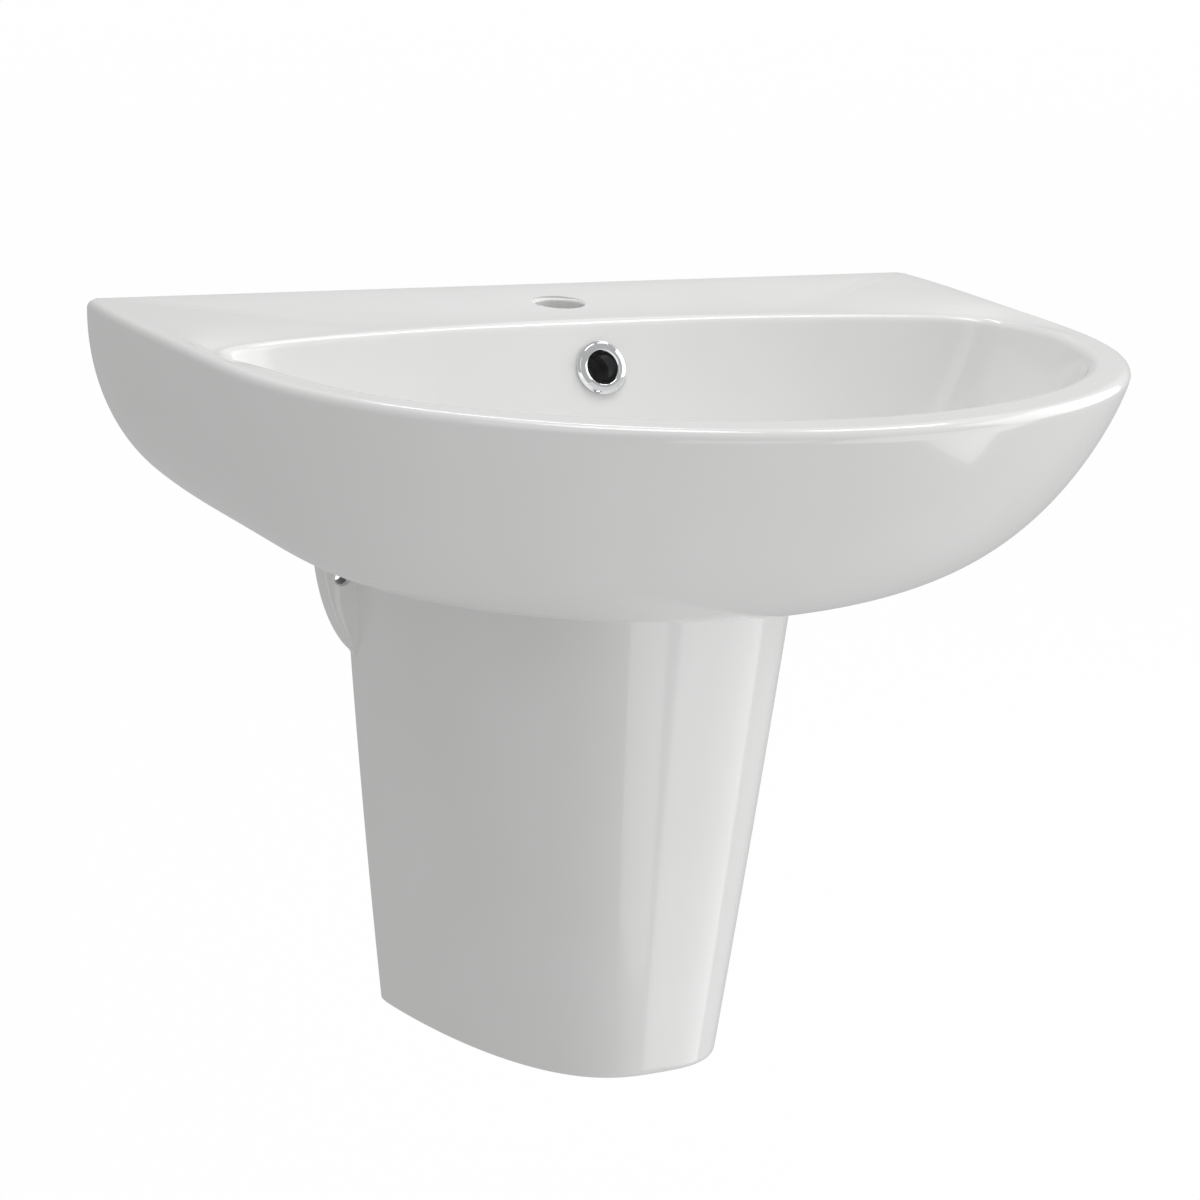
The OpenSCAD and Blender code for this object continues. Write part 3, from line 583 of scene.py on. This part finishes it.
# Height of the deck on the centre line at a distance from the wall
def deckHeight(y):
    s = basinSize
    near = -wasteY - s["deckDepth"] + mouthOut
    f = (y - wasteY - near) / (-wasteY + 0.010 - s["rimRadius"] - near)
    return float(edgeHeight(-s["deckDepth"]) * smoothStep(np.array(1 - f)))


basinPiece = makeBasin()
print("basin made:", len(basinPiece.data.polygons), "faces")


pedestalSize = {
    "halfWideTop": 0.138, "halfWideBottom": 0.096, "swell": 0.008,
    "deepTop": 0.296, "deepBottom": 0.269, "height": 0.388, "lift": 0.16, "heel": 0.0076,
    "thick": 0.012, "gap": 0.0015, "edge": 0.004, "topEdge": 0.0025,
    "earWide": 0.024, "earHigh": 0.106, "earEdge": 0.004, "earFillet": 0.014,
    "holeDrop": 0.206, "holeRadius": 0.0045,
    "sideShape": 0.68, "frontShape": 0.88, "rows": 150, "frontSteps": 90,
}


def pedestalWidth(share):
    p = pedestalSize
    straight = p["halfWideTop"] + (p["halfWideBottom"] - p["halfWideTop"]) * share
    return straight + p["swell"] * share * (1 - share)


def pedestalDepth(share):
    p = pedestalSize
    return p["deepTop"] + (p["deepBottom"] - p["deepTop"]) * share


# Half of a flattened oval from a start angle to the front: powers of cosine across and of sine along
def halfOval(w, d, start, n):
    p = pedestalSize
    a = start[:, None] + (np.pi / 2 - start[:, None]) * np.linspace(0, 1, n)
    return np.stack([-w[:, None] * np.cos(a).clip(0) ** p["sideShape"],
                     -d[:, None] * np.sin(a) ** p["frontShape"]], -1)


# Extra width of the fixing ear below its top: full at the top, rounding away to nothing
def earWidth(drop):
    p = pedestalSize
    u = np.clip(drop / p["earHigh"], 0, 1)
    return p["earWide"] * np.maximum(0, 1 - u ** 3) ** 0.8 * (drop >= 0)


# The outside of the left half at every level: up the ear's edge, round its corner, along its face,
# through the hollow fillet, and round the oval to the front. inset moves it all inwards at rounded edges.
def outerHalf(w, d, ear, inset):
    p = pedestalSize
    w, d = w - inset, d - inset
    t = p["thick"] - inset
    r = np.minimum(p["earEdge"], 0.45 * ear)
    f = np.minimum(p["earFillet"], np.maximum(0, ear - r) * 0.95)
    start = np.arcsin(np.clip((t + f) / d, 0, 1) ** (1 / p["frontShape"]))
    oval = halfOval(w, d, start, p["frontSteps"])
    xSide = oval[:, 0, 0]
    xEdge = -(w + ear)
    wall = np.stack([np.stack([xEdge, -k * (t - r)], -1) for k in np.linspace(0, 1, 5)], 1)
    b = np.linspace(0, np.pi / 2, 9)[1:]
    corner = np.stack([xEdge[:, None] + r[:, None] * (1 - np.cos(b)),
                       -(t - r)[:, None] - r[:, None] * np.sin(b)], -1)
    k = np.linspace(0, 1, 9)[1:]
    faceEnd = xSide - f
    face = np.stack([(xEdge + r)[:, None] + (faceEnd - xEdge - r)[:, None] * k, -t[:, None] + 0 * k], -1)
    b = np.linspace(0, np.pi / 2, 13)[1:]
    fillet = np.stack([faceEnd[:, None] + f[:, None] * np.sin(b),
                       -t[:, None] - f[:, None] * (1 - np.cos(b))], -1)
    return np.concatenate([wall, corner, face, fillet, oval[:, 1:]], 1)


def makePedestal():
    p = pedestalSize
    n = p["rows"]
    arc = np.linspace(0, np.pi / 2, 7)
    topEase, endEase = p["topEdge"], p["edge"]
    shareMid = np.linspace(topEase / p["height"], 1 - endEase / p["height"], n)
    share = np.concatenate([(topEase * (1 - np.cos(arc)) / p["height"])[:-1], shareMid,
                            (1 - endEase / p["height"] * (1 - np.sin(arc)))[1:]])
    inset = np.concatenate([(topEase * (1 - np.sin(arc)))[:-1], np.zeros(n),
                            (endEase * (1 - np.cos(arc)))[1:]])
    top = -basinSize["height"] - p["gap"]
    w, d = pedestalWidth(share), pedestalDepth(share)
    ear = earWidth(share * p["height"])
    outer = outerHalf(w, d, ear, inset)
    inner = halfOval(w - p["thick"] + inset, d - p["thick"] + inset, np.full(len(share), 1e-6), 70)
    half = np.concatenate([outer, (outer[:, ::-1] * (-1, 1))[:, 1:]], 1)
    back = np.concatenate([inner * (-1, 1), (inner[:, ::-1])[:, 1:]], 1)
    loop = np.concatenate([half, back], 1)
    x, y = loop[..., 0], np.minimum(loop[..., 1], 0)
    z = rimZ + top - p["height"] * share[:, None] + np.hypot(y, p["heel"]) * p["lift"] * share[:, None]
    rows = np.stack([x, y, z + 0 * x], -1)
    cols, count = rows.shape[1], rows.shape[0]
    faces = gridFaces(count, cols).tolist()
    points = rows.reshape(-1, 3)
    # Each end closes with one flat many-sided face between the outer and the inner line
    faces += [list(range(cols))[::-1], list(range((count - 1) * cols, count * cols))]
    shell = newMesh("chinaPedestal", points, faces)
    faceOut(shell)
    holes = [np.array([x, -p["thick"], rimZ - p["holeDrop"]]) for x in (-holeX(), holeX())]
    cutters = [roundCutter(p["holeRadius"], at, (0, -1, 0), 0.03, 0.001, 0.01, 64) for at in holes]
    cutAway(shell, cutters)
    return place(shell, "fixed", "white_china", glaze, "semi_pedestal")


# Distance of the ears' holes from the middle: just outside the shroud's side at their height
def holeX():
    p = pedestalSize
    share = (p["holeDrop"] - basinSize["height"] - p["gap"]) / p["height"]
    return pedestalWidth(share) + p["holeRadius"] + 0.003


pedestalPiece = makePedestal()
# How far past the hole's radius the painted shade reaches, and from where to where along it from the wall
screwHoleShade = {"margin": 0.0003, "from": 0.0005, "to": 0.0112}
# Painted shade: the glaze inside both screw holes is coloured near-black
for side in (-1, 1):
    hole = (side * holeX(), 0, rimZ - pedestalSize["holeDrop"])
    paintShadeInside(glaze, hole, (0, -1, 0), pedestalSize["holeRadius"] + screwHoleShade["margin"], screwHoleShade["from"],
               screwHoleShade["to"], glazeLook["holeShade"])
print("half pedestal made:", len(pedestalPiece.data.polygons), "faces")


ringSize = {
    "outer": 0.0188, "bore": 0.0114, "spigot": 0.0128,
    "stand": 0.001, "thick": 0.004, "length": 0.012,
}


def makeRing():
    r = ringSize
    corners = [(r["bore"], -r["length"]), (r["spigot"], -r["length"]),
               (r["spigot"], 0), (r["outer"], 0, 0.0003),
               (r["outer"], 0.0012, 0.0010), (r["outer"] - 0.0018, 0.0030, 0.0012),
               (r["outer"] - 0.0048, r["thick"], 0.0016), (r["bore"] + 0.0009, r["thick"] - 0.0004, 0.0009),
               (r["bore"], r["thick"] - 0.0016, 0.0010)]
    ring = turned("overflowRing", corners, overflowAt - overflowIn * r["stand"], -overflowIn, 192, 8)
    return place(ring, "fixed", "bright_chrome", brightChrome, "overflow_ring")


makeRing()
print("overflow ring made")

plugSize = {"edge": 0.0016, "crown": 0.004, "ease": 0.0005, "rings": 40}


# The plug's cap: a short drum under a shallow ball of radius (half width squared + crown squared) / (2 crown)
def makePlugCap():
    q = plugSize
    low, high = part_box("plug_cap")
    half = (high.x - low.x) / 2
    ball = (half ** 2 + q["crown"] ** 2) / (2 * q["crown"])
    x = (half - q["ease"]) * np.linspace(1, 0, q["rings"])[1:-1]
    dome = [(k, q["edge"] + math.sqrt(ball ** 2 - k * k) - ball + q["crown"]) for k in x]
    corners = [(0, 0), (half, 0, q["ease"]), (half, q["edge"], q["ease"]), *dome, (0, high.z - low.z)]
    at = np.array([(low.x + high.x) / 2, (low.y + high.y) / 2, low.z])
    cap = turned("plugCap", corners, at, (0, 0, 1), 192, 6)
    return place(cap, "plug", "bright_chrome", brightChrome, "plug_cap")


makePlugCap()
print("plug cap made")

nodeMaterials = {
    "white_china": glaze, "bright_chrome": brightChrome, "trap_chrome": pipeChrome, "zinc_steel": zincSteel,
    "black_rubber": blackRubber, "white_plastic": whitePlastic, "cream_plastic": creamPlastic,
}
for part in frame["record"]["subparts"]:
    node = frame["nodes"][part["node"]]
    node.data.materials.clear()
    node.data.materials.append(nodeMaterials[part["material_slot"]])
print("carried-over nodes painted")


stageSize = {"floorDrop": 0.85, "floorHalf": 60.0, "base": (0.02, 0.02, 0.02), "glow": 0.97, "sky": 0.48}


# The paper glows by itself to the camera alone, and is clear seen from below
def makeFloor():
    h, z = stageSize["floorHalf"], rimZ - stageSize["floorDrop"]
    floor = newMesh("floor", [(-h, -h, z), (h, -h, z), (h, h, z), (-h, h, z)], [(0, 1, 2, 3)])
    material, tree, shader = newMaterial("floorPaper", {
        "Base Color": (*stageSize["base"], 1), "Roughness": 0.9, "Specular IOR Level": 0.1,
        "Emission Color": (1, 1, 1, 1), "Emission Strength": stageSize["glow"],
    })
    side = tree.nodes.new("ShaderNodeNewGeometry")
    clear = tree.nodes.new("ShaderNodeBsdfTransparent")
    mix = tree.nodes.new("ShaderNodeMixShader")
    target = next(n for n in tree.nodes if n.type == "OUTPUT_MATERIAL")
    tree.links.new(side.outputs["Backfacing"], mix.inputs[0])
    tree.links.new(shader.outputs[0], mix.inputs[1])
    tree.links.new(clear.outputs[0], mix.inputs[2])
    tree.links.new(mix.outputs[0], target.inputs["Surface"])
    floor.data.materials.append(material)
    floor.visible_diffuse = floor.visible_glossy = floor.visible_shadow = False


def areaLight(name, place, target, size, power):
    light = bpy.data.lights.new(name, "AREA")
    light.shape, light.size, light.size_y, light.energy = "RECTANGLE", size[0], size[1], power
    obj = bpy.data.objects.new(name, light)
    bpy.context.scene.collection.objects.link(obj)
    obj.location = place
    aim = np.array(target) - np.array(place)
    obj.rotation_euler = Vector(aim).to_track_quat("-Z", "Y").to_euler()
    return obj


# Round the middle from the front, up from level, how far off, how wide and high, watts
lights = {
    "right": (85, 18, 2.6, (2.6, 2.0), 29),
    "rightLow": (50, -25, 2.6, (2.2, 1.8), 16),
    "rightHigh": (90, 60, 2.6, (0.8, 0.8), 10),
    "top": (0, 88, 2.6, (1.2, 1.0), 18),
    "backTop": (165, 48, 2.6, (1.0, 0.22), 6),
    "left": (315, 40, 2.6, (1.4, 1.4), 4),
    "frontLow": (0, -25, 2.6, (1.4, 1.2), 5.5),
}


def makeLight():
    world = bpy.data.worlds.new("studio")
    bpy.context.scene.world = world
    world.use_nodes = True
    world.node_tree.nodes["Background"].inputs["Color"].default_value = (1, 1, 1, 1)
    world.node_tree.nodes["Background"].inputs["Strength"].default_value = stageSize["sky"]
    middle = np.array([0, -0.25, 0])
    for name, (bearing, up, far, size, power) in lights.items():
        a, e = math.radians(bearing), math.radians(up)
        spot = middle + far * np.array([math.sin(a) * math.cos(e), -math.cos(a) * math.cos(e), math.sin(e)])
        light = areaLight(name, spot, middle, size, power)
        light.visible_camera = False


cameraSetting = {
    "place": (-0.85316, -1.82152, 0.41744),
    "turn": 26.967, "down": 15.467, "roll": 2.705, "lens": 84.0,
}


# The view turns right of +Y, tips down, then rolls about its own line of sight
def makeCamera():
    c = cameraSetting
    turn, down, roll = (math.radians(c[k]) for k in ("turn", "down", "roll"))
    ahead = np.array([math.sin(turn) * math.cos(down), math.cos(turn) * math.cos(down), -math.sin(down)])
    right = np.array([math.cos(turn), -math.sin(turn), 0])
    up = np.cross(right, ahead)
    right = math.cos(roll) * right + math.sin(roll) * up
    up = np.cross(right, ahead)
    data = bpy.data.cameras.new("camera")
    data.lens, data.sensor_width, data.clip_start, data.clip_end = c["lens"], 36, 0.05, 100
    camera = bpy.data.objects.new("camera", data)
    bpy.context.scene.collection.objects.link(camera)
    matrix = Matrix.Identity(4)
    for row in range(3):
        matrix[row][0], matrix[row][1], matrix[row][2] = right[row], up[row], -ahead[row]
        matrix[row][3] = c["place"][row]
    camera.matrix_world = matrix
    bpy.context.scene.camera = camera


makeFloor()
makeLight()
makeCamera()
bpy.context.scene.view_settings.view_transform = "Standard"
print("floor, light and camera made")
